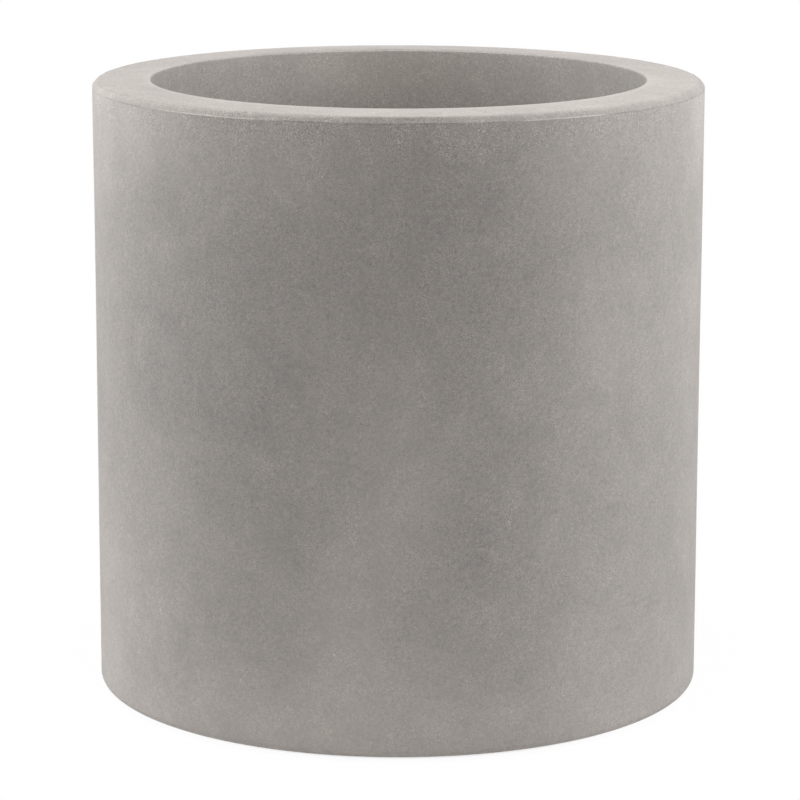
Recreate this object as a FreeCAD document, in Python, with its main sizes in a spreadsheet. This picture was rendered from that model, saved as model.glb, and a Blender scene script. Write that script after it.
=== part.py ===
import FreeCAD, Part
import os
import re

import Sketcher

# Round floor planter: an outer shell with a screwed base plate and rubber feet, an inner liner whose rim is
# bonded on it, a drain and a lift-out watering set. Millimetres, +Z up. The pot's axis is Z and its feet
# stand on z = 0. The front of the pot faces -Y.

# Driving dimensions. Each is one size that can be set by itself.
SIZES = {
    # outer shell and inner liner
    "body_diameter": 494.0,
    "body_height": 497.0,
    "skin": 5.0,
    "rim_width": 47.0,
    "wall_draft": 1.5,
    "floor_rise": 57.0,
    "floor_corner_radius": 12.0,
    "base_edge_radius": 8.0,
    "rim_bevel_height": 4.4,
    "rim_bevel_depth": 3.2,
    "rim_edge_radius": 1.2,
    "rim_inner_radius": 3.5,
    "bead_proud": 0.4,
    "bead_height": 1.2,
    "spigot_length": 15.0,
    "spigot_clearance": 0.3,
    # access opening in the base and its plate
    "access_diameter": 210.0,
    "plate_ledge": 26.0,
    "plate_recess": 1.0,
    "plate_thickness": 4.0,
    "plate_clearance": 0.5,
    # plate screws and the inserts that hold them
    "screw_count": 6,
    "screw_diameter": 6.0,
    "screw_length": 14.0,
    "screw_head_diameter": 12.0,
    "screw_socket_width": 4.0,
    "screw_socket_depth": 2.0,
    "screw_clearance": 0.5,
    "thread_clearance": 0.05,
    "insert_diameter": 10.0,
    "insert_length": 13.0,
    "insert_groove_depth": 0.8,
    "insert_groove_height": 4.0,
    "boss_wall": 5.0,
    "boss_cover": 4.0,
    # push-in feet
    "foot_count": 6,
    "foot_diameter": 30.0,
    "foot_proud": 3.0,
    "foot_inset": 42.0,
    "foot_edge_radius": 1.0,
    "foot_stem_diameter": 8.0,
    "foot_barb_overlap": 1.5,
    "foot_barb_height": 5.0,
    "foot_clearance": 0.1,
    # drain bush, gasket and back nut
    "outlet_diameter": 20.0,
    "plug_thread_diameter": 24.0,
    "plug_thread_length": 18.0,
    "bush_wall": 4.0,
    "bush_flange_width": 12.0,
    "bush_flange_thickness": 4.0,
    "bush_clearance": 0.3,
    "gasket_thickness": 2.0,
    "gasket_setback": 2.0,
    "nut_wall": 9.0,
    "nut_height": 8.0,
    # drain plug and seal
    "plug_reach": 14.0,
    "plug_clearance": 0.08,
    "plug_head_overlap": 8.0,
    "plug_head_thickness": 6.0,
    "plug_head_edge_radius": 1.5,
    "grip_length": 30.0,
    "grip_width": 7.0,
    "grip_height": 10.0,
    "seal_thickness": 2.0,
    "seal_width": 6.0,
    "seal_clearance": 0.3,
    # soil platform
    "reservoir_depth": 70.0,
    "platform_thickness": 5.0,
    "platform_clearance": 2.5,
    "platform_edge_radius": 1.5,
    "vent_diameter": 6.0,
    "inner_vent_count": 12,
    "inner_vent_inset": 18.0,
    "outer_vent_count": 40,
    "outer_vent_inset": 14.0,
    "outer_vent_sweep": 310.0,
    # wick wells
    "well_count": 4,
    "well_diameter": 64.0,
    "well_wall": 3.0,
    "well_inset": 83.0,
    "well_flange_width": 5.0,
    "well_flange_thickness": 3.0,
    "well_clearance": 0.3,
    "well_slot_width": 5.0,
    "well_slot_height": 40.0,
    "well_slot_pairs": 4,
    # filler tube, cap and gauge dome
    "tube_diameter": 44.0,
    "tube_wall": 2.5,
    "tube_wall_gap": 10.0,
    "tube_below_rim": 66.0,
    "tube_collar_width": 6.0,
    "tube_collar_thickness": 4.0,
    "tube_lip": 5.0,
    "tube_lip_thickness": 3.0,
    "tube_notch_width": 8.0,
    "tube_notch_height": 15.0,
    "tube_clearance": 0.3,
    "cap_clearance": 0.35,
    "cap_wall": 2.5,
    "cap_skirt": 12.0,
    "cap_thickness": 4.0,
    "cap_hole_diameter": 13.0,
    "cap_edge_radius": 1.5,
    "dome_diameter": 22.0,
    "dome_wall": 2.0,
    "dome_flange_width": 2.0,
    "dome_flange_thickness": 2.0,
    "dome_crown_radius": 6.0,
    "dome_headroom": 2.0,
    # float gauge
    "float_clearance": 1.5,
    "float_height": 30.0,
    "float_edge_radius": 2.0,
    "float_travel": 36.0,
    "rod_diameter": 4.0,
    "rod_clearance": 0.05,
    "rod_seat": 20.0,
    "flag_diameter": 9.0,
    "flag_height": 6.0,
    "flag_seat": 4.0,
    "flag_lift": 1.0,
}

# Places and radii that follow from the driving dimensions, as formulas over them.
PLACES = {
    "outer_radius": "body_diameter / 2",
    "rim_top": "foot_proud + body_height",
    "mouth_radius": "outer_radius - rim_width",
    "floor_top": "foot_proud + floor_rise",
    "floor_radius": "mouth_radius - (rim_top - floor_top) * tan(wall_draft)",
    "bevel_base": "rim_top - rim_bevel_height",
    "joint_height": "bevel_base - bead_height",
    "spigot_radius": "outer_radius - skin - spigot_clearance",
    "spigot_end": "joint_height - spigot_length",
    "bevel_top_radius": "outer_radius - rim_bevel_depth",
    "access_radius": "access_diameter / 2",
    "plate_radius": "access_radius + plate_ledge",
    "ledge_radius": "plate_radius + plate_clearance",
    "plate_underside": "foot_proud + plate_recess",
    "ledge_height": "plate_underside + plate_thickness",
    "screw_circle": "access_radius + plate_ledge / 2",
    "screw_head_height": "(screw_head_diameter - screw_diameter) / 2",
    "insert_top": "ledge_height + insert_length",
    "foot_circle": "outer_radius - foot_inset",
    "foot_stem_top": "foot_proud + skin",
    "bush_radius": "plug_thread_diameter / 2 + bush_wall",
    "bush_hole_radius": "bush_radius + bush_clearance",
    "bush_seat": "floor_top + gasket_thickness",
    "bush_top": "bush_seat + bush_flange_thickness",
    "bush_flange_radius": "bush_radius + bush_flange_width",
    "nut_top": "floor_top - skin",
    "plug_seat": "bush_top + seal_thickness",
    "plug_radius": "plug_thread_diameter / 2 - plug_clearance",
    "plug_head_radius": "plug_thread_diameter / 2 + plug_head_overlap",
    "plug_head_top": "plug_seat + plug_head_thickness",
    "seal_radius": "plug_radius + seal_clearance",
    "platform_underside": "floor_top + reservoir_depth",
    "platform_top": "platform_underside + platform_thickness",
    "platform_radius": "floor_radius + reservoir_depth * tan(wall_draft) - platform_clearance",
    "well_radius": "well_diameter / 2",
    "well_hole_radius": "well_radius + well_clearance",
    "well_circle": "platform_radius - well_inset",
    "inner_vent_circle": "well_circle - well_hole_radius - inner_vent_inset",
    "outer_vent_circle": "platform_radius - outer_vent_inset",
    "tube_radius": "tube_diameter / 2",
    "tube_bore": "tube_radius - tube_wall",
    "tube_circle": "floor_radius - tube_wall_gap - tube_radius",
    "tube_foot": "floor_top + floor_corner_radius",
    "tube_top": "rim_top - tube_below_rim",
    "cap_bore": "tube_radius + cap_clearance",
    "cap_radius": "cap_bore + cap_wall",
    "cap_top": "tube_top + cap_thickness",
    "dome_radius": "dome_diameter / 2",
    "dome_bore": "dome_radius - dome_wall",
    "flag_base": "cap_top + flag_lift",
    "dome_ceiling": "flag_base + flag_height + float_travel + dome_headroom",
    "dome_top": "dome_ceiling + dome_wall",
    "float_radius": "tube_bore - float_clearance",
    "float_base": "tube_foot + tube_lip_thickness",
    "float_top": "float_base + float_height",
    "rod_radius": "rod_diameter / 2",
    "rod_hole_radius": "rod_radius + rod_clearance",
    "rod_top": "flag_base + flag_seat",
}

FULL_TURN = 360
HALF_TURN = 180
FRONT = -90
FIRST_WELL = 45
EDGE_MATCH = 1e-4
UP = FreeCAD.Vector(0, 0, 1)

doc = FreeCAD.newDocument("planter")
sheet = doc.addObject("Spreadsheet::Sheet", "Sizes")
for row, (alias, content) in enumerate({**SIZES, **PLACES}.items(), start=1):
    text = content if alias in SIZES else f"={content}"
    sheet.set(f"A{row}", alias)
    sheet.set(f"B{row}", str(text))
    sheet.setAlias(f"B{row}", alias)
doc.recompute()


def bound(expression):
    """The expression with each size in it named as a cell of the sheet."""
    known = SIZES.keys() | PLACES.keys()
    return re.sub(r"[a-z_]+", lambda word: f"Sizes.{word[0]}" if word[0] in known else word[0], expression)


def value(expression):
    """The number that an expression over the sizes has now."""
    return float(sheet.evalExpression(bound(expression)))


def new_body(label, x="0", y="0"):
    """An empty body whose own axis stands at x, y."""
    body = doc.addObject("PartDesign::Body", label)
    body.Label = label
    body.AllowCompound = True
    body.setExpression("Placement.Base.x", bound(x))
    body.setExpression("Placement.Base.y", bound(y))
    return body


def origin_feature(body, role):
    """One of the body's own origin planes or axes."""
    return next(item for item in body.Origin.OriginFeatures if item.Role == role)


def sketch_on(body, role, height="0", reach="0"):
    """A sketch on an origin plane, raised along the plane's normal and moved along its first axis."""
    sketch = body.newObject("Sketcher::SketchObject", "sketch")
    sketch.AttachmentSupport = [(origin_feature(body, role), "")]
    sketch.MapMode = "FlatFace"
    sketch.setExpression("AttachmentOffset.Base.z", bound(height))
    sketch.setExpression("AttachmentOffset.Base.x", bound(reach))
    return sketch


def hold(sketch, kind, geometry, expression):
    """A dimension on a piece of the sketch, tied to an expression. geometry is what the dimension runs between."""
    index = sketch.addConstraint(Sketcher.Constraint(kind, *geometry, value(expression)))
    sketch.setExpression(f"Constraints[{index}]", bound(expression))


def outline(sketch, corners):
    """A closed outline. Each corner is two expressions, held as dimensions from the sketch's origin."""
    places = [FreeCAD.Vector(value(x), value(y), 0) for x, y in corners]
    for start, end in zip(places, places[1:] + places[:1]):
        sketch.addGeometry(Part.LineSegment(start, end), False)
    for line, (x, y) in enumerate(corners):
        following = (line + 1) % len(corners)
        sketch.addConstraint(Sketcher.Constraint("Coincident", line, 2, following, 1))
        hold(sketch, "DistanceX", (-1, 1, line, 1), x)
        hold(sketch, "DistanceY", (-1, 1, line, 1), y)


def circle(sketch, x, y, radius):
    """A circle whose centre and radius are expressions."""
    centre = FreeCAD.Vector(value(x), value(y), 0)
    number = sketch.addGeometry(Part.Circle(centre, UP, value(radius)), False)
    hold(sketch, "DistanceX", (-1, 1, number, 3), x)
    hold(sketch, "DistanceY", (-1, 1, number, 3), y)
    hold(sketch, "Radius", (number,), radius)


def revolve(body, corners, reach="0"):
    """The outline of radius and height turned about the upright line at reach from the body's axis."""
    sketch = sketch_on(body, "XZ_Plane", reach=reach)
    outline(sketch, corners)
    turned = body.newObject("PartDesign::Revolution", "revolution")
    turned.Profile = sketch
    turned.ReferenceAxis = (sketch, ["V_Axis"])
    turned.Angle = FULL_TURN
    doc.recompute()
    return turned


def pad(body, sketch, length):
    """The sketch raised upwards by length."""
    raised = body.newObject("PartDesign::Pad", "pad")
    raised.Profile = sketch
    raised.setExpression("Length", bound(length))
    doc.recompute()
    return raised


def cut(body, sketch, length, side="One side"):
    """A pocket that goes up from its sketch by length, or half of it to each side, and removes material."""
    before = body.Shape.Volume
    pocket = body.newObject("PartDesign::Pocket", "pocket")
    pocket.Profile = sketch
    pocket.SideType = side
    pocket.Reversed = True
    pocket.setExpression("Length", bound(length))
    doc.recompute()
    if not body.Shape.Volume < before:
        raise RuntimeError(f"a pocket of {body.Label} cuts nothing")
    return pocket


def repeat(body, features, count, sweep=FULL_TURN):
    """The features repeated about the body's axis, count times over the sweep."""
    pattern = body.newObject("PartDesign::PolarPattern", "pattern")
    pattern.Originals = features
    pattern.Axis = (origin_feature(body, "Z_Axis"), [""])
    pattern.setExpression("Angle", bound(str(sweep)))
    pattern.setExpression("Occurrences", bound(count))
    body.Tip = pattern
    doc.recompute()


def is_ring(edge, radius, height):
    """Whether an edge is a level circle of this radius at this height."""
    curve = edge.Curve
    return (
        isinstance(curve, Part.Circle)
        and abs(curve.Radius - value(radius)) < EDGE_MATCH
        and abs(curve.Center.z - value(height)) < EDGE_MATCH
    )


def round_ring(body, radius, ring_radius, ring_height):
    """A fillet on the body's circular edge of the given radius and height."""
    solid = body.Tip
    edges = enumerate(solid.Shape.Edges, start=1)
    names = [f"Edge{number}" for number, edge in edges if is_ring(edge, ring_radius, ring_height)]
    fillet = body.newObject("PartDesign::Fillet", "fillet")
    fillet.Base = (solid, names)
    fillet.setExpression("Radius", bound(radius))
    doc.recompute()


def hexagon(width):
    """The six corners of a hexagon that measures width across its flats."""
    turns = range(0, FULL_TURN, 60)
    return [(f"{width} / sqrt(3) * cos({turn})", f"{width} / sqrt(3) * sin({turn})") for turn in turns]


def rectangle(left, right, low, high):
    """The four corners of an upright rectangle."""
    return [(left, low), (right, low), (right, high), (left, high)]


def outer_shell():
    """The outer wall and the base ring in one skin, with a ledge for the base plate."""
    body = new_body("outer_shell")
    revolve(body, [
        ("access_radius", "ledge_height"),
        ("ledge_radius", "ledge_height"),
        ("ledge_radius", "foot_proud"),
        ("outer_radius", "foot_proud"),
        ("outer_radius", "joint_height"),
        ("outer_radius - skin", "joint_height"),
        ("outer_radius - skin", "foot_proud + skin"),
        ("ledge_radius + skin", "foot_proud + skin"),
        ("ledge_radius + skin", "ledge_height + skin"),
        ("access_radius", "ledge_height + skin"),
    ])
    round_ring(body, "base_edge_radius", "outer_radius", "foot_proud")

    boss = sketch_on(body, "XY_Plane", height="ledge_height")
    circle(boss, "screw_circle", "0", "insert_diameter / 2 + boss_wall")
    bosses = pad(body, boss, "insert_length + boss_cover")
    insert_hole = sketch_on(body, "XY_Plane", height="ledge_height")
    circle(insert_hole, "screw_circle", "0", "insert_diameter / 2")
    insert_holes = cut(body, insert_hole, "insert_length")
    repeat(body, [bosses, insert_holes], "screw_count")

    foot_hole = sketch_on(body, "XY_Plane", height="foot_proud")
    circle(foot_hole, "foot_circle", "0", "foot_stem_diameter / 2 + foot_clearance")
    foot_holes = cut(body, foot_hole, "2 * skin")
    repeat(body, [foot_holes], "foot_count")
    return body


def inner_liner():
    """The rim, inner wall and inner floor in one skin. The rim lies on the outer wall, and a spigot under it
    stands inside that wall."""
    body = new_body("inner_liner")
    revolve(body, [
        ("bush_hole_radius", "floor_top - skin"),
        ("floor_radius + skin", "floor_top - skin"),
        ("mouth_radius + skin", "rim_top - skin"),
        ("spigot_radius - skin", "rim_top - skin"),
        ("spigot_radius - skin", "spigot_end"),
        ("spigot_radius", "spigot_end"),
        ("spigot_radius", "joint_height"),
        ("outer_radius", "joint_height"),
        ("outer_radius + bead_proud", "bevel_base - bead_height / 2"),
        ("outer_radius", "bevel_base"),
        ("bevel_top_radius", "rim_top"),
        ("mouth_radius", "rim_top"),
        ("floor_radius", "floor_top"),
        ("bush_hole_radius", "floor_top"),
    ])
    round_ring(body, "rim_edge_radius", "bevel_top_radius", "rim_top")
    round_ring(body, "rim_inner_radius", "mouth_radius", "rim_top")
    round_ring(body, "floor_corner_radius", "floor_radius", "floor_top")
    return body


def base_plate():
    """The round plate in the rebate of the base, with a hole for the drain and countersunk screw holes."""
    body = new_body("base_plate")
    revolve(body, rectangle("bush_hole_radius", "plate_radius", "plate_underside", "ledge_height"))
    hole_radius = "(screw_diameter / 2 + screw_clearance)"
    head_radius = "(screw_head_diameter / 2 + screw_clearance)"
    sketch = sketch_on(body, "XZ_Plane", reach="screw_circle")
    outline(sketch, [
        ("0", "plate_underside"),
        (head_radius, "plate_underside"),
        (hole_radius, f"plate_underside + {head_radius} - {hole_radius}"),
        (hole_radius, "ledge_height"),
        ("0", "ledge_height"),
    ])
    before = body.Shape.Volume
    countersink = body.newObject("PartDesign::Groove", "groove")
    countersink.Profile = sketch
    countersink.ReferenceAxis = (sketch, ["V_Axis"])
    countersink.Angle = FULL_TURN
    doc.recompute()
    if not body.Shape.Volume < before:
        raise RuntimeError("a screw hole of base_plate cuts nothing")
    repeat(body, [countersink], "screw_count")
    return body


def base_plate_screws():
    """The countersunk screws that hold the plate, flush with its underside, each with a hexagon socket."""
    body = new_body("base_plate_screws")
    screw = revolve(body, [
        ("0", "plate_underside"),
        ("screw_head_diameter / 2", "plate_underside"),
        ("screw_diameter / 2", "plate_underside + screw_head_height"),
        ("screw_diameter / 2", "plate_underside + screw_length"),
        ("0", "plate_underside + screw_length"),
    ], reach="screw_circle")
    socket = sketch_on(body, "XY_Plane", height="plate_underside", reach="screw_circle")
    outline(socket, hexagon("screw_socket_width"))
    sockets = cut(body, socket, "screw_socket_depth")
    repeat(body, [screw, sockets], "screw_count")
    return body


def threaded_inserts():
    """The brass inserts in the base's bosses, each with a groove round it that the plastic fills."""
    body = new_body("threaded_inserts")
    bore = "screw_diameter / 2 + thread_clearance"
    waist = "insert_diameter / 2 - insert_groove_depth"
    middle = "(ledge_height + insert_top) / 2"
    insert = revolve(body, [
        (bore, "ledge_height"),
        ("insert_diameter / 2", "ledge_height"),
        ("insert_diameter / 2", f"{middle} - insert_groove_height / 2"),
        (waist, f"{middle} - insert_groove_height / 2"),
        (waist, f"{middle} + insert_groove_height / 2"),
        ("insert_diameter / 2", f"{middle} + insert_groove_height / 2"),
        ("insert_diameter / 2", "insert_top"),
        (bore, "insert_top"),
    ], reach="screw_circle")
    repeat(body, [insert], "screw_count")
    return body


def foot(number):
    """A rubber foot: a pad under the base ring, a stem through it and a barb that holds above it."""
    turn = f"({FULL_TURN} / foot_count * {number - 1})"
    body = new_body(f"foot_{number}", f"foot_circle * cos{turn}", f"foot_circle * sin{turn}")
    revolve(body, [
        ("0", "0"),
        ("foot_diameter / 2", "0"),
        ("foot_diameter / 2", "foot_proud"),
        ("foot_stem_diameter / 2", "foot_proud"),
        ("foot_stem_diameter / 2", "foot_stem_top"),
        ("foot_stem_diameter / 2 + foot_barb_overlap", "foot_stem_top"),
        ("foot_stem_diameter / 2 - foot_barb_overlap", "foot_stem_top + foot_barb_height"),
        ("0", "foot_stem_top + foot_barb_height"),
    ])
    round_ring(body, "foot_edge_radius", "foot_diameter / 2", "0")
    return body


def drain_bush():
    """The drain tube: a flange on the inner floor, a thread for the plug and an outlet down to the base plate."""
    body = new_body("drain_bush")
    revolve(body, [
        ("outlet_diameter / 2", "plate_underside"),
        ("bush_radius", "plate_underside"),
        ("bush_radius", "bush_seat"),
        ("bush_flange_radius", "bush_seat"),
        ("bush_flange_radius", "bush_top"),
        ("plug_thread_diameter / 2", "bush_top"),
        ("plug_thread_diameter / 2", "bush_top - plug_thread_length"),
        ("outlet_diameter / 2", "bush_top - plug_thread_length"),
    ])
    return body


def bush_gasket():
    """The rubber ring between the bush's flange and the inner floor."""
    body = new_body("bush_gasket")
    revolve(body, rectangle("bush_hole_radius", "bush_flange_radius - gasket_setback", "floor_top", "bush_seat"))
    return body


def bush_nut():
    """The hexagonal nut on the bush, tight against the inner floor from below."""
    body = new_body("bush_nut")
    sketch = sketch_on(body, "XY_Plane", height="nut_top - nut_height")
    outline(sketch, hexagon("2 * (bush_radius + nut_wall)"))
    circle(sketch, "0", "0", "bush_radius + thread_clearance")
    pad(body, sketch, "nut_height")
    return body


def plug_seal():
    """The flat washer between the plug's head and the bush."""
    body = new_body("plug_seal")
    revolve(body, rectangle("seal_radius", "seal_radius + seal_width", "bush_top", "plug_seat"))
    return body


def drain_plug():
    """The screw plug: a shank in the bush's thread, a round head and a grip bar across it."""
    body = new_body("drain_plug")
    revolve(body, [
        ("0", "bush_top - plug_reach"),
        ("plug_radius", "bush_top - plug_reach"),
        ("plug_radius", "plug_seat"),
        ("plug_head_radius", "plug_seat"),
        ("plug_head_radius", "plug_head_top"),
        ("0", "plug_head_top"),
    ])
    round_ring(body, "plug_head_edge_radius", "plug_head_radius", "plug_head_top")
    grip = sketch_on(body, "XY_Plane", height="plug_head_top")
    outline(grip, rectangle("-grip_length / 2", "grip_length / 2", "-grip_width / 2", "grip_width / 2"))
    pad(body, grip, "grip_height")
    return body


def soil_platform():
    """The perforated plate above the reservoir, with a rounded edge and holes for the wells and the tube."""
    body = new_body("soil_platform")
    revolve(body, rectangle("0", "platform_radius", "platform_underside", "platform_top"))
    round_ring(body, "platform_edge_radius", "platform_radius", "platform_top")
    well_hole = sketch_on(body, "XY_Plane", height="platform_underside")
    circle(well_hole, f"well_circle * cos({FIRST_WELL})", f"well_circle * sin({FIRST_WELL})", "well_hole_radius")
    well_holes = cut(body, well_hole, "platform_thickness")
    repeat(body, [well_holes], "well_count")

    tube_hole = sketch_on(body, "XY_Plane", height="platform_underside")
    circle(tube_hole, "0", "-tube_circle", "tube_radius + tube_clearance")
    cut(body, tube_hole, "platform_thickness")

    inner_vent = sketch_on(body, "XY_Plane", height="platform_underside")
    circle(inner_vent, "inner_vent_circle", "0", "vent_diameter / 2")
    inner_vents = cut(body, inner_vent, "platform_thickness")
    repeat(body, [inner_vents], "inner_vent_count")

    first_turn = f"({FRONT} + ({FULL_TURN} - outer_vent_sweep) / 2)"
    outer_vent = sketch_on(body, "XY_Plane", height="platform_underside")
    circle(outer_vent, f"outer_vent_circle * cos{first_turn}", f"outer_vent_circle * sin{first_turn}",
           "vent_diameter / 2")
    outer_vents = cut(body, outer_vent, "platform_thickness")
    repeat(body, [outer_vents], "outer_vent_count", "outer_vent_sweep")
    return body


def wick_well(number):
    """A slotted cup that stands on the inner floor and carries the platform on its flange."""
    turn = f"({FIRST_WELL} + {FULL_TURN} / well_count * {number - 1})"
    body = new_body(f"wick_well_{number}", f"well_circle * cos{turn}", f"well_circle * sin{turn}")
    inside = "well_radius - well_wall"
    revolve(body, [
        ("0", "floor_top"),
        ("well_radius", "floor_top"),
        ("well_radius", "platform_top"),
        ("well_radius + well_flange_width", "platform_top"),
        ("well_radius + well_flange_width", "platform_top + well_flange_thickness"),
        (inside, "platform_top + well_flange_thickness"),
        (inside, "floor_top + well_wall"),
        ("0", "floor_top + well_wall"),
    ])
    slot = sketch_on(body, "XZ_Plane")
    slot_base = "floor_top + 2 * well_wall"
    outline(slot, rectangle("-well_slot_width / 2", "well_slot_width / 2",
                            slot_base, f"{slot_base} + well_slot_height"))
    slots = cut(body, slot, "2 * well_diameter", side="Symmetric")
    repeat(body, [slots], "well_slot_pairs", f"{HALF_TURN} - {HALF_TURN} / well_slot_pairs")
    return body


def filler_tube():
    """The water tube: a collar on the platform, notches at its foot and a lip there that stops the float."""
    body = new_body("filler_tube", y="-tube_circle")
    collar_top = "platform_top + tube_collar_thickness"
    revolve(body, [
        ("tube_bore - tube_lip", "tube_foot"),
        ("tube_radius", "tube_foot"),
        ("tube_radius", "platform_top"),
        ("tube_radius + tube_collar_width", "platform_top"),
        ("tube_radius + tube_collar_width", collar_top),
        ("tube_radius", collar_top),
        ("tube_radius", "tube_top"),
        ("tube_bore", "tube_top"),
        ("tube_bore", "float_base"),
        ("tube_bore - tube_lip", "float_base"),
    ])
    notch = sketch_on(body, "XZ_Plane")
    outline(notch, rectangle("-tube_notch_width / 2", "tube_notch_width / 2",
                             "float_base", "float_base + tube_notch_height"))
    notches = cut(body, notch, "2 * tube_diameter", side="Symmetric")
    repeat(body, [notches], "2", f"{HALF_TURN} / 2")
    return body


def filler_cap():
    """The cap on the tube: a skirt round the tube's end and a hole that the float's flag comes through."""
    body = new_body("filler_cap", y="-tube_circle")
    revolve(body, [
        ("cap_hole_diameter / 2", "tube_top"),
        ("cap_bore", "tube_top"),
        ("cap_bore", "tube_top - cap_skirt"),
        ("cap_radius", "tube_top - cap_skirt"),
        ("cap_radius", "cap_top"),
        ("cap_hole_diameter / 2", "cap_top"),
    ])
    round_ring(body, "cap_edge_radius", "cap_radius", "cap_top")
    return body


def gauge_dome():
    """The clear dome on the cap, tall enough for the flag's travel."""
    body = new_body("gauge_dome", y="-tube_circle")
    flange_top = "cap_top + dome_flange_thickness"
    revolve(body, [
        ("dome_bore", "cap_top"),
        ("dome_radius + dome_flange_width", "cap_top"),
        ("dome_radius + dome_flange_width", flange_top),
        ("dome_radius", flange_top),
        ("dome_radius", "dome_top"),
        ("0", "dome_top"),
        ("0", "dome_ceiling"),
        ("dome_bore", "dome_ceiling"),
    ])
    round_ring(body, "dome_crown_radius", "dome_radius", "dome_top")
    round_ring(body, "dome_crown_radius - dome_wall", "dome_bore", "dome_ceiling")
    return body


def level_float():
    """The float in the tube, with a blind hole for its rod. It rests on the tube's lip."""
    body = new_body("float", y="-tube_circle")
    revolve(body, [
        ("0", "float_base"),
        ("float_radius", "float_base"),
        ("float_radius", "float_top"),
        ("rod_hole_radius", "float_top"),
        ("rod_hole_radius", "float_top - rod_seat"),
        ("0", "float_top - rod_seat"),
    ])
    round_ring(body, "float_edge_radius", "float_radius", "float_top")
    return body


def float_rod():
    """The rod from the float up to the flag."""
    body = new_body("float_rod", y="-tube_circle")
    revolve(body, rectangle("0", "rod_radius", "float_top - rod_seat", "rod_top"))
    return body


def level_flag():
    """The flag on the rod's end, which shows in the dome as the water rises."""
    body = new_body("level_flag", y="-tube_circle")
    revolve(body, [
        ("rod_hole_radius", "flag_base"),
        ("flag_diameter / 2", "flag_base"),
        ("flag_diameter / 2", "flag_base + flag_height"),
        ("0", "flag_base + flag_height"),
        ("0", "rod_top"),
        ("rod_hole_radius", "rod_top"),
    ])
    return body


pieces = [
    outer_shell(),
    inner_liner(),
    base_plate(),
    base_plate_screws(),
    threaded_inserts(),
    *(foot(number) for number in range(1, SIZES["foot_count"] + 1)),
    drain_bush(),
    bush_gasket(),
    bush_nut(),
    plug_seal(),
    drain_plug(),
    soil_platform(),
    *(wick_well(number) for number in range(1, SIZES["well_count"] + 1)),
    filler_tube(),
    filler_cap(),
    gauge_dome(),
    level_float(),
    float_rod(),
    level_flag(),
]
doc.recompute()

for item in doc.Objects:
    if "Invalid" in item.State or "Error" in item.State:
        raise RuntimeError(f"{item.Label} of {item.getParentGeoFeatureGroup()} failed: {item.State}")
for piece in pieces:
    if piece.Shape.isNull() or not piece.Shape.isValid():
        raise RuntimeError(f"{piece.Label} has no valid shape")

os.makedirs("parts", exist_ok=True)
for piece in pieces:
    piece.Shape.exportStep(f"parts/{piece.Label}.step")
    print(piece.Label, "solids", len(piece.Shape.Solids), "volume", round(piece.Shape.Volume, 1))
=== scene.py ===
import math

import bpy
import numpy as np
from mathutils import Matrix, Vector


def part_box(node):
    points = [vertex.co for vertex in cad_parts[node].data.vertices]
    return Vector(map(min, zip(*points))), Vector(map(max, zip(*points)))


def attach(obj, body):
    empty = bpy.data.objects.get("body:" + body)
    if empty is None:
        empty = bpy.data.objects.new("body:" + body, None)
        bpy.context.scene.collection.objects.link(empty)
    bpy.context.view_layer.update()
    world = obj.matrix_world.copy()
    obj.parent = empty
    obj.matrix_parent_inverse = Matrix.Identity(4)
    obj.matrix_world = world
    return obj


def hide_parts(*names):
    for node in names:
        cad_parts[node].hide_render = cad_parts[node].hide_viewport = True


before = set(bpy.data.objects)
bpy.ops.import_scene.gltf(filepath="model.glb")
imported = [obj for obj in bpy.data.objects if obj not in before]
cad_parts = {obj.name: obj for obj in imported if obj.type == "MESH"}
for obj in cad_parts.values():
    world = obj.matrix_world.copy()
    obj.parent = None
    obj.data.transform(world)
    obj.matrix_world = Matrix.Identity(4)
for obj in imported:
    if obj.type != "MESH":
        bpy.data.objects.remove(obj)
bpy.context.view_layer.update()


# Outer shell. The wall and base ring of the pot in one skin of rotationally moulded polyethylene, with a sandy
# matt finish that sets in soft clouds. The base plate screws into a ledge in it, and the liner's rim is bonded
# on its top edge.
SHELL_LOW, SHELL_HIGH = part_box("outer_shell")
OUTER_RADIUS = SHELL_HIGH.x
SCRAPED_BACK = 0.0008
JOINT_HEIGHT = SHELL_HIGH.z - SCRAPED_BACK
UNDERSIDE = SHELL_LOW.z
SKIN = 0.005
JOINT_ROUND, JOINT_LIP = 0.00002, 0.00008
SCRAPED_DEPTH = 0.0018
BASE_ROUND = 0.006
PLATE_CLEARANCE = 0.0005
LEDGE_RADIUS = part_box("base_plate")[1].x + PLATE_CLEARANCE
LEDGE_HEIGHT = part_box("base_plate")[1].z
ACCESS_RADIUS = 0.105
ROUND_STEPS = 560
JOINT_ARC, BASE_ARC = 3, 12
SCRAPED_CUTS, WALL_CUTS, BASE_CUTS = 3, 62, 6
WALL_WAVE, WALL_WAVES = 0.00025, (2, 3, 5)
WAVE_FADE, WAVE_LEAN = 0.06, 3
SHELL_SEED = 7


def bend(before, corner, after, radius, steps):
    """A rounded corner of a profile: points on the arc of that radius that touches both lines at the corner."""
    back = (before - corner) / np.linalg.norm(before - corner)
    ahead = (after - corner) / np.linalg.norm(after - corner)
    half = math.acos(float(back @ ahead)) / 2
    centre = corner + (back + ahead) / np.linalg.norm(back + ahead) * radius / math.sin(half)
    first = corner + back * radius / math.tan(half) - centre
    last = corner + ahead * radius / math.tan(half) - centre
    sweep = math.atan2(first[0] * last[1] - first[1] * last[0], float(first @ last))
    turn = sweep * np.arange(steps + 1) / steps
    across = np.cos(turn) * first[0] - np.sin(turn) * first[1]
    along = np.sin(turn) * first[0] + np.cos(turn) * first[1]
    return centre + np.stack([across, along], axis=1)


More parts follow.
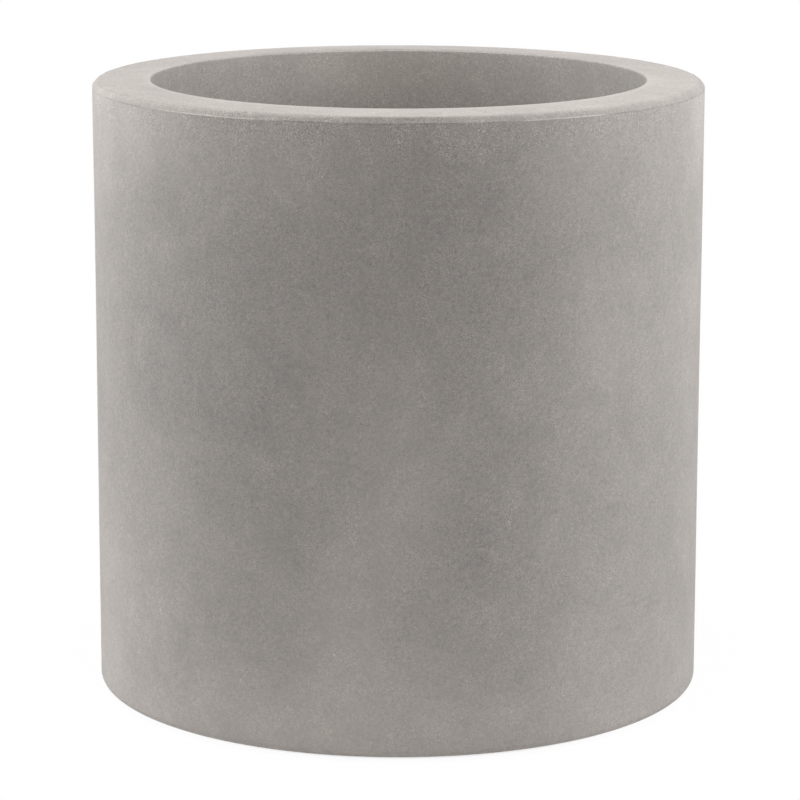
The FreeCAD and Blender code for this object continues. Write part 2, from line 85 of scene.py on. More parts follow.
def rounded_profile(corners):
    """Points along a closed profile. Each corner is (radius, height, rounding, steps of its arc, pieces that the
    straight stretch after it is cut into)."""
    places = [np.array(corner[:2]) for corner in corners]
    arcs = []
    for number, (_, _, rounding, steps, _) in enumerate(corners):
        ahead = places[(number + 1) % len(places)]
        arc = bend(places[number - 1], places[number], ahead, rounding, steps) if rounding else places[number][None]
        arcs.append(arc)
    stretches = []
    for arc, following, corner in zip(arcs, arcs[1:] + arcs[:1], corners):
        share = np.arange(corner[4])[:, None] / corner[4]
        stretches.append(arc[:-1])
        stretches.append(arc[-1] + (following[0] - arc[-1]) * share)
    return np.concatenate(stretches)


def sharp(radius, height, cuts=1):
    """A corner of a profile with no rounding."""
    return (radius, height, 0, 0, cuts)


def wander(angle, counts, seed):
    """A value that wanders round a ring, mostly from -1 to 1: a sum of cosines with these counts to the turn."""
    phases = np.random.default_rng(seed).uniform(0, 2 * np.pi, len(counts))
    waves = [np.cos(count * angle + phase) for count, phase in zip(counts, phases)]
    return np.sum(waves, axis=0) / math.sqrt(len(counts))


def bell(away, width):
    """A bell curve: e to the power of minus half the square of the distance over the width."""
    return np.exp(-0.5 * (away / width) ** 2)


def bump_at(angle, centre, width):
    """A bell curve round a ring, 1 at the centre and falling off with the width, both in degrees."""
    return bell(np.degrees(np.angle(np.exp(1j * (angle - math.radians(centre))))), width)


def ring_mesh(name, points):
    """A mesh on a grid of points that closes both ways: rows go round the axis, columns go along the profile."""
    rows, columns = points.shape[:2]
    here = np.arange(rows * columns).reshape(rows, columns)
    along = np.roll(here, -1, axis=1)
    beside = np.roll(here, -1, axis=0)
    opposite = np.roll(along, -1, axis=0)
    faces = np.stack([here, along, opposite, beside], axis=-1).reshape(-1, 4)
    mesh = bpy.data.meshes.new(name)
    mesh.from_pydata(points.reshape(-1, 3), [], faces)
    mesh.polygons.foreach_set("use_smooth", np.ones(len(faces), dtype=bool))
    mesh.update()
    piece = bpy.data.objects.new(name, mesh)
    bpy.context.scene.collection.objects.link(piece)
    return piece


turn = np.linspace(0, 2 * np.pi, ROUND_STEPS, endpoint=False)[:, None]


def turned(name, radius, height, axis=(0, 0)):
    """A mesh of revolution about an upright axis: x = radius sin(turn) and y = -radius cos(turn) from the axis, so
    that the turn starts at the front."""
    across = axis[0] + radius * np.sin(turn)
    away = axis[1] - radius * np.cos(turn)
    return ring_mesh(name, np.stack(np.broadcast_arrays(across, away, height), axis=-1))


shell_profile = rounded_profile([
    sharp(OUTER_RADIUS - SKIN, JOINT_HEIGHT),
    (OUTER_RADIUS, JOINT_HEIGHT, JOINT_ROUND, JOINT_ARC, 1),
    sharp(OUTER_RADIUS, JOINT_HEIGHT - JOINT_LIP, SCRAPED_CUTS),
    sharp(OUTER_RADIUS, JOINT_HEIGHT - SCRAPED_DEPTH, WALL_CUTS),
    (OUTER_RADIUS, UNDERSIDE, BASE_ROUND, BASE_ARC, BASE_CUTS),
    sharp(LEDGE_RADIUS, UNDERSIDE),
    sharp(LEDGE_RADIUS, LEDGE_HEIGHT),
    sharp(ACCESS_RADIUS, LEDGE_HEIGHT),
    sharp(ACCESS_RADIUS, LEDGE_HEIGHT + SKIN),
    sharp(LEDGE_RADIUS + SKIN, LEDGE_HEIGHT + SKIN),
    sharp(LEDGE_RADIUS + SKIN, UNDERSIDE + SKIN),
    sharp(OUTER_RADIUS - SKIN, UNDERSIDE + SKIN),
])
shell_radius, shell_height = shell_profile[:, 0][None], shell_profile[:, 1][None]
on_wall = shell_radius > OUTER_RADIUS - BASE_ROUND / 2
under_joint = np.clip((JOINT_HEIGHT - shell_height) / WAVE_FADE, 0, 1)
wall_wave = WALL_WAVE * under_joint * wander(turn + WAVE_LEAN * shell_height, WALL_WAVES, SHELL_SEED)
shell = turned("outer_shell_skin", shell_radius + wall_wave * on_wall, shell_height)

# Clouds in the finish: soft patches where the powder fused a little lighter or darker. Each is its place in
# degrees from the front, its height, its spread along and up the wall, and how much lighter it is. The first, wide
# and low at the front, is partly painted light for the light bounced up from the floor. The painted light along the
# joint is given in the same way: thin light lines where the joint catches the light, and lighter places at the sides
# that lift the shade of its groove. The bands at both edges are given by height, spread and gain; the one at the
# bottom is painted light for the light bounced up from the floor.
CLOUDS = [
    (-16, 0.00, 0.130, 0.045, 0.17), (-10, 0.10, 0.024, 0.055, 0.18), (0, 0.21, 0.026, 0.045, 0.09),
    (-8, 0.28, 0.035, 0.040, 0.04), (-55, 0.13, 0.060, 0.050, 0.07), (-68, 0.08, 0.040, 0.055, 0.12),
    (40, 0.09, 0.030, 0.045, 0.07), (36, 0.32, 0.030, 0.025, 0.05), (54, 0.30, 0.034, 0.035, 0.06),
    (-54, 0.478, 0.058, 0.030, 0.15), (-23, 0.46, 0.026, 0.025, 0.04), (50, 0.44, 0.080, 0.030, 0.02),
    (15, 0.38, 0.050, 0.050, -0.11), (10, 0.47, 0.056, 0.030, -0.13), (15, 0.21, 0.028, 0.050, -0.11),
    (-31, 0.28, 0.020, 0.022, -0.05), (-50, 0.28, 0.022, 0.026, -0.04), (-36, 0.33, 0.110, 0.080, -0.07),
    (-73, 0.43, 0.036, 0.060, 0.06), (76, 0.34, 0.034, 0.040, 0.08), (72, 0.39, 0.020, 0.020, -0.07),
    (-24, 0.22, 0.030, 0.045, -0.06), (66, 0.20, 0.030, 0.060, -0.02), (-18, 0.37, 0.070, 0.030, -0.04),
    (-79, 0.24, 0.030, 0.060, -0.06), (15, 0.07, 0.026, 0.040, -0.06), (-26, 0.03, 0.040, 0.020, 0.04),
    (76, 0.16, 0.034, 0.060, 0.05), (76, 0.468, 0.036, 0.036, 0.20),
]
# Painted light along the joint: thin light lines, and lifts over the shade of its groove.
JOINT_PAINTED_LIGHT = [
    (-19, JOINT_HEIGHT, 0.024, 0.0008, 0.14), (18, JOINT_HEIGHT, 0.020, 0.0006, 0.10),
    (-68, JOINT_HEIGHT, 0.060, 0.0050, 0.08), (68, JOINT_HEIGHT, 0.050, 0.0050, 0.06),
]
# The band at the bottom edge is painted light for the light bounced up from the floor.
EDGE_BANDS = [(JOINT_HEIGHT, 0.030, 0.07), (UNDERSIDE, 0.045, 0.07)]
clouds_and_painted_light = np.zeros((ROUND_STEPS, len(shell_profile)))
for centre, height, spread, rise, gain in CLOUDS + JOINT_PAINTED_LIGHT:
    across = bump_at(turn, centre, math.degrees(spread / OUTER_RADIUS))
    clouds_and_painted_light += gain * across * bell(shell_height - height, rise)
for height, rise, gain in EDGE_BANDS:
    clouds_and_painted_light += gain * bell(shell_height - height, rise)


def mark(piece, name, values):
    """Stores one value at each point of a skin, under the name that its material reads it by."""
    everywhere = np.broadcast_to(values, (ROUND_STEPS, values.shape[1]))
    piece.data.attributes.new(name, "FLOAT", "POINT").data.foreach_set("value", everywhere.ravel())


# The scraper roughened the sand close under the joint.
RASP_DEPTH, RASP_GAIN = 0.014, 0.60
shell_rasp = RASP_GAIN * bell(shell_height - JOINT_HEIGHT, RASP_DEPTH)
mark(shell, "clouds_and_painted_light", clouds_and_painted_light * on_wall)
mark(shell, "rasp", shell_rasp * on_wall)


def add(tree, kind, inputs, **settings):
    """A node of this kind in the tree, with its settings, and each input set to a value or joined to a socket."""
    node = tree.nodes.new(kind)
    for name, setting in settings.items():
        setattr(node, name, setting)
    for key, source in inputs.items():
        if isinstance(source, bpy.types.NodeSocket):
            tree.links.new(source, node.inputs[key])
        else:
            node.inputs[key].default_value = source
    return node


def calculate(tree, operation, *values):
    """The output of a maths node on one, two or three values or sockets."""
    return add(tree, "ShaderNodeMath", dict(enumerate(values)), operation=operation).outputs[0]


def tinted(tree, colour, factor):
    """A colour made lighter or darker by a factor that changes over the surface."""
    return add(tree, "ShaderNodeVectorMath", {0: colour, "Scale": factor}, operation="SCALE").outputs[0]


def marked(tree, name):
    """One more than the value that is stored on the skin under this name."""
    return calculate(tree, "ADD", add(tree, "ShaderNodeAttribute", {}, attribute_name=name).outputs["Fac"], 1.0)


def new_finish(name):
    """A material with nothing in it, and its node tree."""
    material = bpy.data.materials.new(name)
    material.use_nodes = True
    material.node_tree.nodes.clear()
    return material, material.node_tree


def close_finish(tree, shader):
    """Joins a shader to the material's output."""
    add(tree, "ShaderNodeOutputMaterial", {"Surface": shader})


def coat(piece, material):
    """Gives a piece one material all over."""
    piece.data.materials.clear()
    piece.data.materials.append(material)


FINE_DETAIL, BROAD_DETAIL = 2.0, 4.0
NOISE_ROUGHNESS, NOISE_MEAN = 0.6, 0.5
FLOW_DISTORTION = 0.7


def grain_group():
    """A node group for the skin of moulded plastic: noise of one size and noise of a coarser size, each about 0
    on average. Inputs are the two scales in features to the metre."""
    tree = bpy.data.node_groups.new("moulded_grain", "ShaderNodeTree")
    tree.interface.new_socket("Fine Scale", in_out="INPUT", socket_type="NodeSocketFloat")
    tree.interface.new_socket("Broad Scale", in_out="INPUT", socket_type="NodeSocketFloat")
    tree.interface.new_socket("Fine", in_out="OUTPUT", socket_type="NodeSocketFloat")
    tree.interface.new_socket("Broad", in_out="OUTPUT", socket_type="NodeSocketFloat")
    inlet = add(tree, "NodeGroupInput", {})
    place = add(tree, "ShaderNodeTexCoord", {}).outputs["Object"]
    fine = add(tree, "ShaderNodeTexNoise", {
        "Vector": place,
        "Scale": inlet.outputs["Fine Scale"],
        "Detail": FINE_DETAIL,
        "Roughness": NOISE_ROUGHNESS,
    })
    broad = add(tree, "ShaderNodeTexNoise", {
        "Vector": place,
        "Scale": inlet.outputs["Broad Scale"],
        "Detail": BROAD_DETAIL,
        "Roughness": NOISE_ROUGHNESS,
        "Distortion": FLOW_DISTORTION,
    })
    add(tree, "NodeGroupOutput", {
        "Fine": calculate(tree, "SUBTRACT", fine.outputs[0], NOISE_MEAN),
        "Broad": calculate(tree, "SUBTRACT", broad.outputs[0], NOISE_MEAN),
    })
    return tree


GRAIN = grain_group()


def grain(tree, fine_scale, broad_scale):
    """The moulded grain in a material, as its fine and its broad value."""
    node = add(tree, "ShaderNodeGroup", {}, node_tree=GRAIN)
    node.inputs["Fine Scale"].default_value = fine_scale
    node.inputs["Broad Scale"].default_value = broad_scale
    return node.outputs["Fine"], node.outputs["Broad"]


SHELL_COLOUR = (0.452, 0.4175, 0.390)
SHELL_ROUGHNESS, SHELL_SPECULAR = 0.85, 0.25
SAND_SCALE, PATCH_SCALE = 1050, 14
DUST_SCALE, HAZE_SCALE = 300, 45
SAND_TONE, DUST_TONE, HAZE_TONE, PATCH_TONE = 0.85, 0.40, 0.2, 0.3
CLUSTERING, LEAST_CLUSTER = 2.4, 0.2
SPECK_LEVEL, SPECK_TONE = 0.12, 1.4
SAND_HEIGHT, SAND_BUMP = 0.0005, 0.35
sandy_shell, tree = new_finish("sandy_shell")
sand, patches = grain(tree, SAND_SCALE, PATCH_SCALE)
dust, haze = grain(tree, DUST_SCALE, HAZE_SCALE)
# The stored tone holds the skin's clouds and its painted light and shade.
tone = marked(tree, "clouds_and_painted_light")
clusters = calculate(tree, "MAXIMUM", calculate(tree, "MULTIPLY_ADD", haze, CLUSTERING, 1.0), LEAST_CLUSTER)
clustered_sand = calculate(tree, "MULTIPLY", calculate(tree, "MULTIPLY", sand, clusters), marked(tree, "rasp"))
specks = calculate(tree, "MAXIMUM", calculate(tree, "SUBTRACT", clustered_sand, SPECK_LEVEL), 0.0)
for value, share in (
    (patches, PATCH_TONE), (haze, HAZE_TONE), (dust, DUST_TONE), (clustered_sand, SAND_TONE), (specks, SPECK_TONE),
):
    tone = calculate(tree, "MULTIPLY_ADD", value, share, tone)
relief = add(tree, "ShaderNodeBump", {"Height": sand, "Strength": SAND_BUMP, "Distance": SAND_HEIGHT})
close_finish(tree, add(tree, "ShaderNodeBsdfPrincipled", {
    "Base Color": tinted(tree, SHELL_COLOUR, tone),
    "Roughness": SHELL_ROUGHNESS,
    "Specular IOR Level": SHELL_SPECULAR,
    "Normal": relief.outputs[0],
}).outputs[0])
coat(shell, sandy_shell)
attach(shell, "planter")
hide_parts("outer_shell")


# Inner liner. Rim, inner wall and inner floor in one moulded skin of the same finish. It hangs in the shell by
# its rim, a spigot under the rim stands inside the wall, and the joint is bonded. The bead is scraped flush by
# hand, which leaves a thin broken ridge under the rim's bevel.
RIM_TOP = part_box("inner_liner")[1].z
RIM_WIDTH = 0.047
MOUTH_RADIUS = OUTER_RADIUS - RIM_WIDTH
RIM_INNER_ROUND = 0.0016
RIM_FALL = 0.0005
BEVEL_LIFT, BEVEL_WIDTH = 0.0012, 0.0032
BEVEL_BASE = JOINT_HEIGHT + BEVEL_LIFT
BEVEL_TOP_RADIUS = OUTER_RADIUS - BEVEL_WIDTH
CRISP_BEVEL, SOFT_BEVEL = 0.003, 0.0065
CRISP_WIDTH = 11
BEVEL_FOOT_ROUND = 0.0012
BEAD_PROUD, BEAD_ROUND = 0.00015, 0.0001
SPIGOT_CLEARANCE, SPIGOT_LENGTH = 0.0003, 0.015
SPIGOT_RADIUS = OUTER_RADIUS - SKIN - SPIGOT_CLEARANCE
SPIGOT_END = SHELL_HIGH.z - SPIGOT_LENGTH
FLOOR_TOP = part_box("bush_gasket")[0].z
FLOOR_CORNER = 0.012
WALL_DRAFT = math.radians(1.5)
FLOOR_RADIUS = MOUTH_RADIUS - (RIM_TOP - FLOOR_TOP) * math.tan(WALL_DRAFT)
DRAIN_HOLE = 0.0163
FLOOR_ARC, MOUTH_ARC, BEVEL_ARC, BEAD_ARC = 6, 10, 8, 4
FLOOR_CUTS, INNER_WALL_CUTS, RIM_CUTS, BEVEL_CUTS = 8, 36, 10, 4
FRONT, BACK = 0, 180


def liner_profile(bevel_round):
    """The liner's profile with this rounding on the rim's outer edge."""
    return rounded_profile([
        sharp(DRAIN_HOLE, FLOOR_TOP, FLOOR_CUTS),
        (FLOOR_RADIUS, FLOOR_TOP, FLOOR_CORNER, FLOOR_ARC, INNER_WALL_CUTS),
        (MOUTH_RADIUS, RIM_TOP, RIM_INNER_ROUND, MOUTH_ARC, RIM_CUTS),
        (BEVEL_TOP_RADIUS, RIM_TOP - RIM_FALL, bevel_round, BEVEL_ARC, BEVEL_CUTS),
        (OUTER_RADIUS, BEVEL_BASE, BEVEL_FOOT_ROUND, JOINT_ARC, 1),
        (OUTER_RADIUS + BEAD_PROUD, (BEVEL_BASE + JOINT_HEIGHT) / 2, BEAD_ROUND, BEAD_ARC, 1),
        sharp(OUTER_RADIUS, JOINT_HEIGHT + JOINT_LIP),
        (OUTER_RADIUS, JOINT_HEIGHT, JOINT_ROUND, JOINT_ARC, 1),
        sharp(SPIGOT_RADIUS, JOINT_HEIGHT),
        sharp(SPIGOT_RADIUS, SPIGOT_END),
        sharp(SPIGOT_RADIUS - SKIN, SPIGOT_END),
        sharp(SPIGOT_RADIUS - SKIN, RIM_TOP - SKIN),
        sharp(MOUTH_RADIUS + SKIN, RIM_TOP - SKIN),
        sharp(FLOOR_RADIUS + SKIN, FLOOR_TOP - SKIN),
        sharp(DRAIN_HOLE, FLOOR_TOP - SKIN),
    ])


# The rim's outer edge is crisp at the front, where it was scraped last, and worn round elsewhere.
crisp_share = bump_at(turn, FRONT, CRISP_WIDTH)[:, :, None]
soft_rim, crisp_rim = liner_profile(SOFT_BEVEL)[None], liner_profile(CRISP_BEVEL)[None]
liner_radius, liner_height = np.moveaxis(soft_rim + crisp_share * (crisp_rim - soft_rim), 2, 0)

# The ridge is left whole in a few stretches and all but gone in the others. Each stretch is its place in degrees
# from the front, its width and how whole it is. The bevel's edge wavers a little all the way round.
RIDGE_STRETCHES = [
    (-36, 8, 1.5), (-1, 8, 0.1), (26, 5, 0.8), (35, 4, 0.8), (118, 14, 0.9), (176, 16, 0.8), (-121, 12, 0.9),
]
RIDGE_BREAKS, RIDGE_WAVES, RIDGE_SEED = 0.2, (17, 29, 43, 61), 8
BEVEL_WAVE, BEVEL_WAVES, BEVEL_SEED = 0.0005, (9, 16, 27, 45, 71), 9
BEVEL_WAVE_REACH = 0.0022


def tones_round(patches):
    """The sum of bell curves round the ring. Each patch is its centre, its width and its gain."""
    return sum(gain * bump_at(turn, centre, width) for centre, width, gain in patches)


ridge = tones_round(RIDGE_STRETCHES)
ridge = np.clip(ridge + RIDGE_BREAKS * wander(turn, RIDGE_WAVES, RIDGE_SEED), 0, 1)
proud = np.clip(liner_radius - OUTER_RADIUS, 0, None)
bevel_edge = np.hypot(liner_radius - BEVEL_TOP_RADIUS, liner_height - RIM_TOP)
bevel_shift = BEVEL_WAVE * wander(turn, BEVEL_WAVES, BEVEL_SEED)
liner = turned(
    "inner_liner_skin",
    liner_radius - proud * (1 - ridge) + bevel_shift * np.exp(-(bevel_edge / BEVEL_WAVE_REACH) ** 2),
    liner_height,
)

# Tones in the liner's finish, with painted light and shade. The mouth is painted lighter close under the rim and
# darker deeper down, in bands that stand in for the light falling off inside it, each given by its depth under the
# rim, its spread and its gain. It is lighter in two clouds, given by place, width, depth, spread and gain. It is
# duller away from the back.
MOUTH_PAINTED_LIGHT_BANDS = [(0, 0.0025, 0.03), (0, 0.009, 0.12), (0.026, 0.014, 0.09), (0.11, 0.04, -0.10)]
MOUTH_CLOUDS = [(-165, 12, 0.016, 0.012, 0.10), (180, 20, 0.012, 0.012, 0.04)]
SIDE_DULL, BACK_WIDTH = -0.13, 32
in_mouth = liner_radius < MOUTH_RADIUS + RIM_INNER_ROUND / 2
depth = RIM_TOP - liner_height
at_back = bump_at(turn, BACK, BACK_WIDTH)
mouth_tone = SIDE_DULL * (1 - at_back)
for band_depth, rise, gain in MOUTH_PAINTED_LIGHT_BANDS:
    mouth_tone = mouth_tone + gain * bell(depth - band_depth, rise)
for centre, width, cloud_depth, rise, gain in MOUTH_CLOUDS:
    mouth_tone = mouth_tone + gain * bump_at(turn, centre, width) * bell(depth - cloud_depth, rise)

# The flat of the rim is painted along the mouth: a painted highlight at the front and painted shade at the back,
# where it also fades in painted shade from its outer to its inner edge. It is lighter in a few patches round the
# ring. The bevel is painted darker at the front and on the right, as painted shade, and lighter at the left, as
# painted light, and the ridge is painted lighter, a painted highlight where it catches the light.
RIM_HIGHLIGHT, BACK_RIM_SHADE, RIM_LIGHT_REACH = 0.10, -0.20, 0.006
RIM_PATCHES = [(65, 30, 0.06), (0, 30, 0.02), (180, 50, 0.06)]
RIM_FADE, RIM_MIDDLE = 0.10, (MOUTH_RADIUS + OUTER_RADIUS) / 2
# Painted shade on the bevel at the front and right, and painted light at the left.
BEVEL_PAINTED_LIGHT = [(0, 10, -0.15), (30, 13, -0.08), (-40, 8, 0.04), (-72, 14, 0.12)]
# The ridge's lighter tone is a painted highlight where it catches the light.
RIDGE_HIGHLIGHT = 0.65
MOUTH_RASP, BEVEL_RASP, RASPED_BEVEL = 0.22, 0.8, (-28, 16)
on_flat = liner_height > RIM_TOP - RIM_FALL
on_bevel = (liner_radius > BEVEL_TOP_RADIUS) & (liner_height < RIM_TOP - RIM_FALL)
on_ridge = proud > 0
rim_painted_light = RIM_HIGHLIGHT + (BACK_RIM_SHADE - RIM_HIGHLIGHT) * at_back
rim_painted_light = rim_painted_light * np.exp(-((liner_radius - MOUTH_RADIUS) / RIM_LIGHT_REACH) ** 2)
rim_fade = RIM_FADE * at_back * (liner_radius - RIM_MIDDLE) / (OUTER_RADIUS - RIM_MIDDLE)
rim_tone = rim_painted_light + tones_round(RIM_PATCHES) + rim_fade
liner_tones_and_painted_light = mouth_tone * in_mouth + rim_tone * on_flat
liner_tones_and_painted_light = liner_tones_and_painted_light + tones_round(BEVEL_PAINTED_LIGHT) * on_bevel + RIDGE_HIGHLIGHT * ridge * on_ridge
mark(liner, "clouds_and_painted_light", liner_tones_and_painted_light)
mark(liner, "rasp", MOUTH_RASP * in_mouth + BEVEL_RASP * on_bevel * bump_at(turn, *RASPED_BEVEL))
coat(liner, sandy_shell)
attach(liner, "planter")
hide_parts("inner_liner")


# Drain. A flanged bush of black polypropylene stands in the inner floor. A rubber gasket lies under its flange,
# and a hexagonal nut draws it down from below.
GRAIN_HEIGHT, GRAIN_GLOSS = 0.0003, 0.35
PLASTIC_IOR = 1.49


def moulded(name, colour, roughness, scales, tone, relief, clear=0.0):
    """A moulded finish: fine grain in its relief and gloss, and broad, faint flow marks in its colour."""
    material, tree = new_finish(name)
    fine, broad = grain(tree, *scales)
    height = add(tree, "ShaderNodeBump", {"Height": fine, "Strength": relief, "Distance": GRAIN_HEIGHT})
    close_finish(tree, add(tree, "ShaderNodeBsdfPrincipled", {
        "Base Color": tinted(tree, colour, calculate(tree, "MULTIPLY_ADD", broad, tone, 1.0)),
        "Roughness": calculate(tree, "MULTIPLY_ADD", fine, GRAIN_GLOSS, roughness),
        "Transmission Weight": clear,
        "IOR": PLASTIC_IOR,
        "Normal": height.outputs[0],
    }).outputs[0])
    return material


def dress(nodes, material):
    """Gives the material to every slot of these CAD nodes."""
    for node in nodes:
        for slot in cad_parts[node].material_slots:
            slot.material = material


black_plastic = moulded(
    "black_plastic", colour=(0.026, 0.026, 0.028), roughness=0.46, scales=(1300, 22), tone=2.2, relief=0.4,
)
black_rubber = moulded(
    "black_rubber", colour=(0.016, 0.016, 0.016), roughness=0.82, scales=(900, 60), tone=1.8, relief=0.5,
)
dress(["drain_bush", "bush_nut"], black_plastic)
dress(["bush_gasket"], black_rubber)


# Base. Six brass inserts with a turned, slightly tarnished skin are moulded into the ledge. The round black plate
# closes the opening, and six zinc-plated countersunk screws hold it. Six rubber feet are pushed into the base.
MARK_HEIGHT, MARK_BUMP, MARK_GLOSS = 0.0001, 0.2, 0.25
TARNISH_SCALE = 160


def metal(name, colour, roughness, stretch, scale, tone):
    """A metal finish: fine marks drawn out along one axis by the stretch, and a broad, faint tarnish."""
    material, tree = new_finish(name)
    place = add(tree, "ShaderNodeTexCoord", {}).outputs["Object"]
    drawn = add(tree, "ShaderNodeMapping", {"Vector": place, "Scale": stretch}).outputs[0]
    marks = add(tree, "ShaderNodeTexNoise", {"Vector": drawn, "Scale": scale, "Detail": FINE_DETAIL}).outputs[0]
    tarnish = grain(tree, TARNISH_SCALE, TARNISH_SCALE)[1]
    height = add(tree, "ShaderNodeBump", {"Height": marks, "Strength": MARK_BUMP, "Distance": MARK_HEIGHT})
    close_finish(tree, add(tree, "ShaderNodeBsdfPrincipled", {
        "Base Color": tinted(tree, colour, calculate(tree, "MULTIPLY_ADD", tarnish, tone, 1.0)),
        "Roughness": calculate(tree, "MULTIPLY_ADD", marks, MARK_GLOSS, roughness),
        "Metallic": 1.0,
        "Normal": height.outputs[0],
    }).outputs[0])
    return material


turned_brass = metal(
    "turned_brass", colour=(0.56, 0.36, 0.12), roughness=0.25, stretch=(1, 1, 12), scale=400, tone=0.6,
)
zinc_plate = metal(
    "zinc_plate", colour=(0.50, 0.51, 0.53), roughness=0.28, stretch=(1, 1, 1), scale=900, tone=0.5,
)
dress(["threaded_inserts"], turned_brass)
dress(["base_plate_screws"], zinc_plate)
dress(["base_plate"], black_plastic)
dress([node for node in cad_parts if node.startswith("foot_")], black_rubber)


# Plug. A screw plug of grey polypropylene with a grip bar, turned from inside the pot, on a flat rubber washer.
# The washer rises with the plug and doesn't turn.
grey_plastic = moulded(
    "grey_plastic", colour=(0.085, 0.089, 0.094), roughness=0.38, scales=(1100, 45), tone=1.4, relief=0.3,
)
dress(["drain_plug"], grey_plastic)
dress(["plug_seal"], black_rubber)


# Watering set. A perforated platform of black polypropylene carries the soil over the water. Four slotted cups
# hang from it and draw the water up, and a filler tube stands in it. The set lifts out in one piece.
dress(["soil_platform", "filler_tube"], black_plastic)
dress([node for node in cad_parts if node.startswith("wick_well_")], black_plastic)


# Gauge. A grey cap with a fluted grip and a clear acrylic dome closes the tube. A foam float on a white rod rises
# in the tube and shows its red flag in the dome.
CAP_LOW, CAP_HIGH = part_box("filler_cap")
CAP_MIDDLE = (CAP_LOW + CAP_HIGH) / 2
CAP_RADIUS = CAP_HIGH.x - CAP_MIDDLE.x
CAP_WALL, CAP_THICKNESS = 0.0025, 0.004
CAP_HOLE_RADIUS = 0.0065
CAP_ROUND, CAP_FOOT_ROUND = 0.0015, 0.0005
CAP_ARC, CAP_FOOT_ARC = 6, 3
CAP_TOP_CUTS, CAP_GRIP_CUTS, CAP_INNER_CUTS = 8, 10, 4
FLUTES, FLUTE_DEPTH, FLUTE_FADE = 40, 0.0009, 0.002
cap_profile = rounded_profile([
    sharp(CAP_HOLE_RADIUS, CAP_HIGH.z, CAP_TOP_CUTS),
    (CAP_RADIUS, CAP_HIGH.z, CAP_ROUND, CAP_ARC, CAP_GRIP_CUTS),
    (CAP_RADIUS, CAP_LOW.z, CAP_FOOT_ROUND, CAP_FOOT_ARC, 1),
    sharp(CAP_RADIUS - CAP_WALL, CAP_LOW.z, CAP_INNER_CUTS),
    sharp(CAP_RADIUS - CAP_WALL, CAP_HIGH.z - CAP_THICKNESS, CAP_INNER_CUTS),
    sharp(CAP_HOLE_RADIUS, CAP_HIGH.z - CAP_THICKNESS),
])
cap_radius, cap_height = cap_profile[:, 0][None], cap_profile[:, 1][None]
on_grip = cap_radius > CAP_RADIUS - CAP_WALL / 2
flute_share = on_grip * np.clip((CAP_HIGH.z - CAP_ROUND - cap_height) / FLUTE_FADE, 0, 1)
flute = FLUTE_DEPTH * (1 - np.abs(np.cos(FLUTES / 2 * turn)))
cap = turned("filler_cap_skin", cap_radius - flute * flute_share, cap_height, CAP_MIDDLE)
coat(cap, grey_plastic)
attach(cap, "cap")
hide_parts("filler_cap")
clear_acrylic = moulded(
    "clear_acrylic", colour=(0.93, 0.96, 0.97), roughness=0.05, scales=(300, 40), tone=0.03, relief=0.004, clear=1.0,
)
float_foam = moulded(
    "float_foam", colour=(0.80, 0.78, 0.71), roughness=0.9, scales=(620, 70), tone=0.15, relief=0.8,
)
white_rod = moulded(
    "white_rod", colour=(0.76, 0.76, 0.75), roughness=0.32, scales=(900, 50), tone=0.08, relief=0.1,
)
red_flag = moulded(
    "red_flag", colour=(0.50, 0.014, 0.010), roughness=0.35, scales=(1000, 60), tone=0.3, relief=0.12,
)
dress(["gauge_dome"], clear_acrylic)
dress(["float"], float_foam)
dress(["float_rod"], white_rod)
dress(["level_flag"], red_flag)


# Studio. A pale floor with a large soft lamp at each side of the pot and three soft lamps above it. The floor is
# plain white where it is looked at and keeps the pot's shadow close to it. Each shadow is the distance from the
# middle where it starts to fade, the distance where it is gone, and how much of it shows.
FLOOR_REACH = 6.0
FLOOR_BOUNCE = (0.85, 0.85, 0.85, 1)
WHITE = (1, 1, 1, 1)
CONTACT_SHADOW = (0.229, 0.239, 0.60)
SOFT_SHADOW = (0.25, 0.45, 0.03)
floor_mesh = bpy.data.meshes.new("studio_floor")
floor_corners = FLOOR_REACH * np.array([[-1, -1, 0], [1, -1, 0], [1, 1, 0], [-1, 1, 0]])
floor_mesh.from_pydata(floor_corners, [], [(0, 1, 2, 3)])
floor = bpy.data.objects.new("studio_floor", floor_mesh)
bpy.context.scene.collection.objects.link(floor)


def seen_directly(tree):
    """1 for rays from the camera, in mirrors and through glass, 0 for the light that falls on things."""
    path = add(tree, "ShaderNodeLightPath", {})
    seen = calculate(tree, "MAXIMUM", path.outputs["Is Camera Ray"], path.outputs["Is Glossy Ray"])
    return calculate(tree, "MAXIMUM", seen, path.outputs["Is Transmission Ray"])


material, tree = new_finish("studio_floor")
place = add(tree, "ShaderNodeTexCoord", {}).outputs["Object"]
away = add(tree, "ShaderNodeVectorMath", {0: place}, operation="LENGTH").outputs["Value"]
near = 0.0
for first, last, share in (CONTACT_SHADOW, SOFT_SHADOW):
    fading = add(tree, "ShaderNodeMapRange", {
        "Value": away, "From Min": first, "From Max": last, "To Min": share, "To Max": 0.0,
    }, interpolation_type="SMOOTHSTEP")
    near = calculate(tree, "MAXIMUM", near, fading.outputs[0])
shadowed = add(tree, "ShaderNodeMixShader", {
    0: near,
    1: add(tree, "ShaderNodeEmission", {"Color": WHITE, "Strength": 1.0}).outputs[0],
    2: add(tree, "ShaderNodeBsdfDiffuse", {"Color": WHITE}).outputs[0],
}).outputs[0]
close_finish(tree, add(tree, "ShaderNodeMixShader", {
    0: seen_directly(tree),
    1: add(tree, "ShaderNodeBsdfDiffuse", {"Color": FLOOR_BOUNCE}).outputs[0],
    2: shadowed,
}).outputs[0])
coat(floor, material)

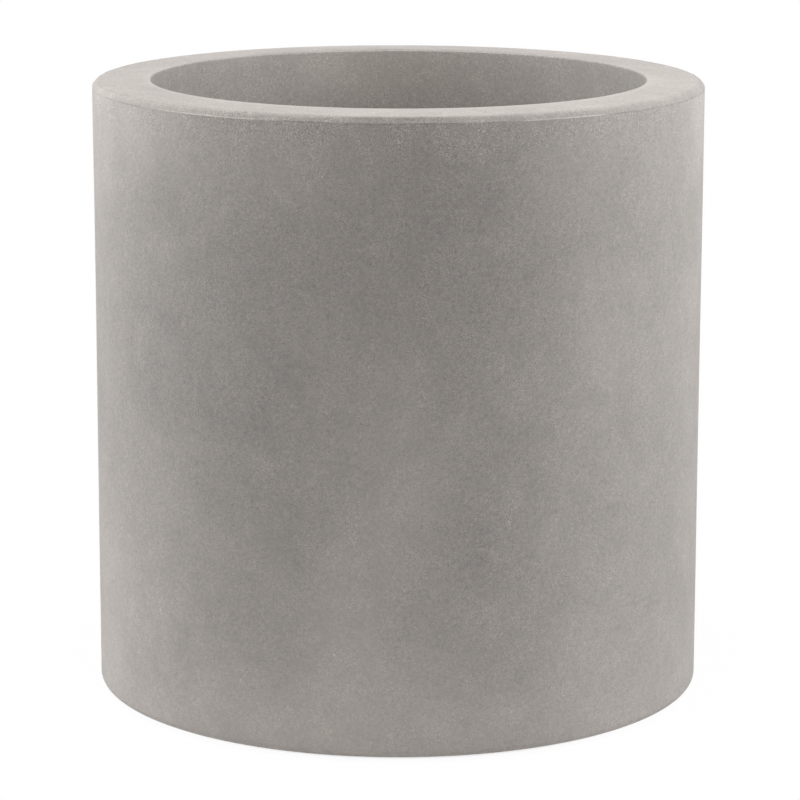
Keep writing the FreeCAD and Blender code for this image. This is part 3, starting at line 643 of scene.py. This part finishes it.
WORLD_FILL = (1.0, 0.98, 0.97, 1)
WORLD_STRENGTH = 0.03
world = bpy.data.worlds.new("studio")
world.use_nodes = True
world.node_tree.nodes.clear()
fill = add(world.node_tree, "ShaderNodeBackground", {"Color": WORLD_FILL, "Strength": WORLD_STRENGTH})
backdrop = add(world.node_tree, "ShaderNodeBackground", {"Color": WHITE, "Strength": 1.0})
sky = add(world.node_tree, "ShaderNodeMixShader", {
    0: seen_directly(world.node_tree), 1: fill.outputs[0], 2: backdrop.outputs[0],
})
add(world.node_tree, "ShaderNodeOutputWorld", {"Surface": sky.outputs[0]})
bpy.context.scene.world = world


def softbox(name, place, target, size, energy, colour):
    """A rectangular lamp at a place, turned towards a target. Its size is its width and its height."""
    lamp = bpy.data.lights.new(name, "AREA")
    lamp.shape = "RECTANGLE"
    lamp.size, lamp.size_y = size
    lamp.energy = energy
    lamp.color = colour
    holder = bpy.data.objects.new(name, lamp)
    holder.location = place
    holder.rotation_euler = (Vector(target) - Vector(place)).to_track_quat("-Z", "Y").to_euler()
    bpy.context.scene.collection.objects.link(holder)


WALL_TARGET, TOP_TARGET = (0, 0, 0.3), (0, 0, 0.4)
SIDE_SIZE, FRONT_SIZE, TOP_SIZE = (1.6, 2.0), (1.4, 1.4), (1.2, 1.2)
WARM_FRONT, COOL_SIDE, COOL_TOP = (1.02, 1.0, 0.98), (0.985, 1.0, 1.012), (0.968, 0.998, 1.034)
for lamp in (
    ("left_softbox", (-2.07, 0.75, 0.6), WALL_TARGET, SIDE_SIZE, 31, COOL_SIDE),
    ("right_softbox", (2.2, 0.0, 0.6), WALL_TARGET, SIDE_SIZE, 21, COOL_SIDE),
    ("front_top_softbox", (0, -0.8, 1.9), TOP_TARGET, FRONT_SIZE, 15.5, WARM_FRONT),
    ("left_top_softbox", (-1.2, 0.1, 1.7), TOP_TARGET, TOP_SIZE, 15, COOL_TOP),
    ("right_top_softbox", (1.2, 0.1, 1.7), TOP_TARGET, TOP_SIZE, 17, COOL_TOP),
):
    softbox(*lamp)

CAMERA_PLACE = (0.00166, -2.8431, 0.8356)
CAMERA_PITCH = 0.20884
CAMERA_ROLL = 0.0018
CAMERA_LENS = 158.66
CAMERA_FILM = 36
lens = bpy.data.cameras.new("camera")
lens.lens = CAMERA_LENS
lens.sensor_width = CAMERA_FILM
camera = bpy.data.objects.new("camera", lens)
aim = Matrix.Rotation(math.pi / 2 - CAMERA_PITCH, 4, "X") @ Matrix.Rotation(CAMERA_ROLL, 4, "Z")
camera.matrix_world = Matrix.Translation(CAMERA_PLACE) @ aim
bpy.context.scene.collection.objects.link(camera)
bpy.context.scene.camera = camera
bpy.context.scene.view_settings.view_transform = "Standard"
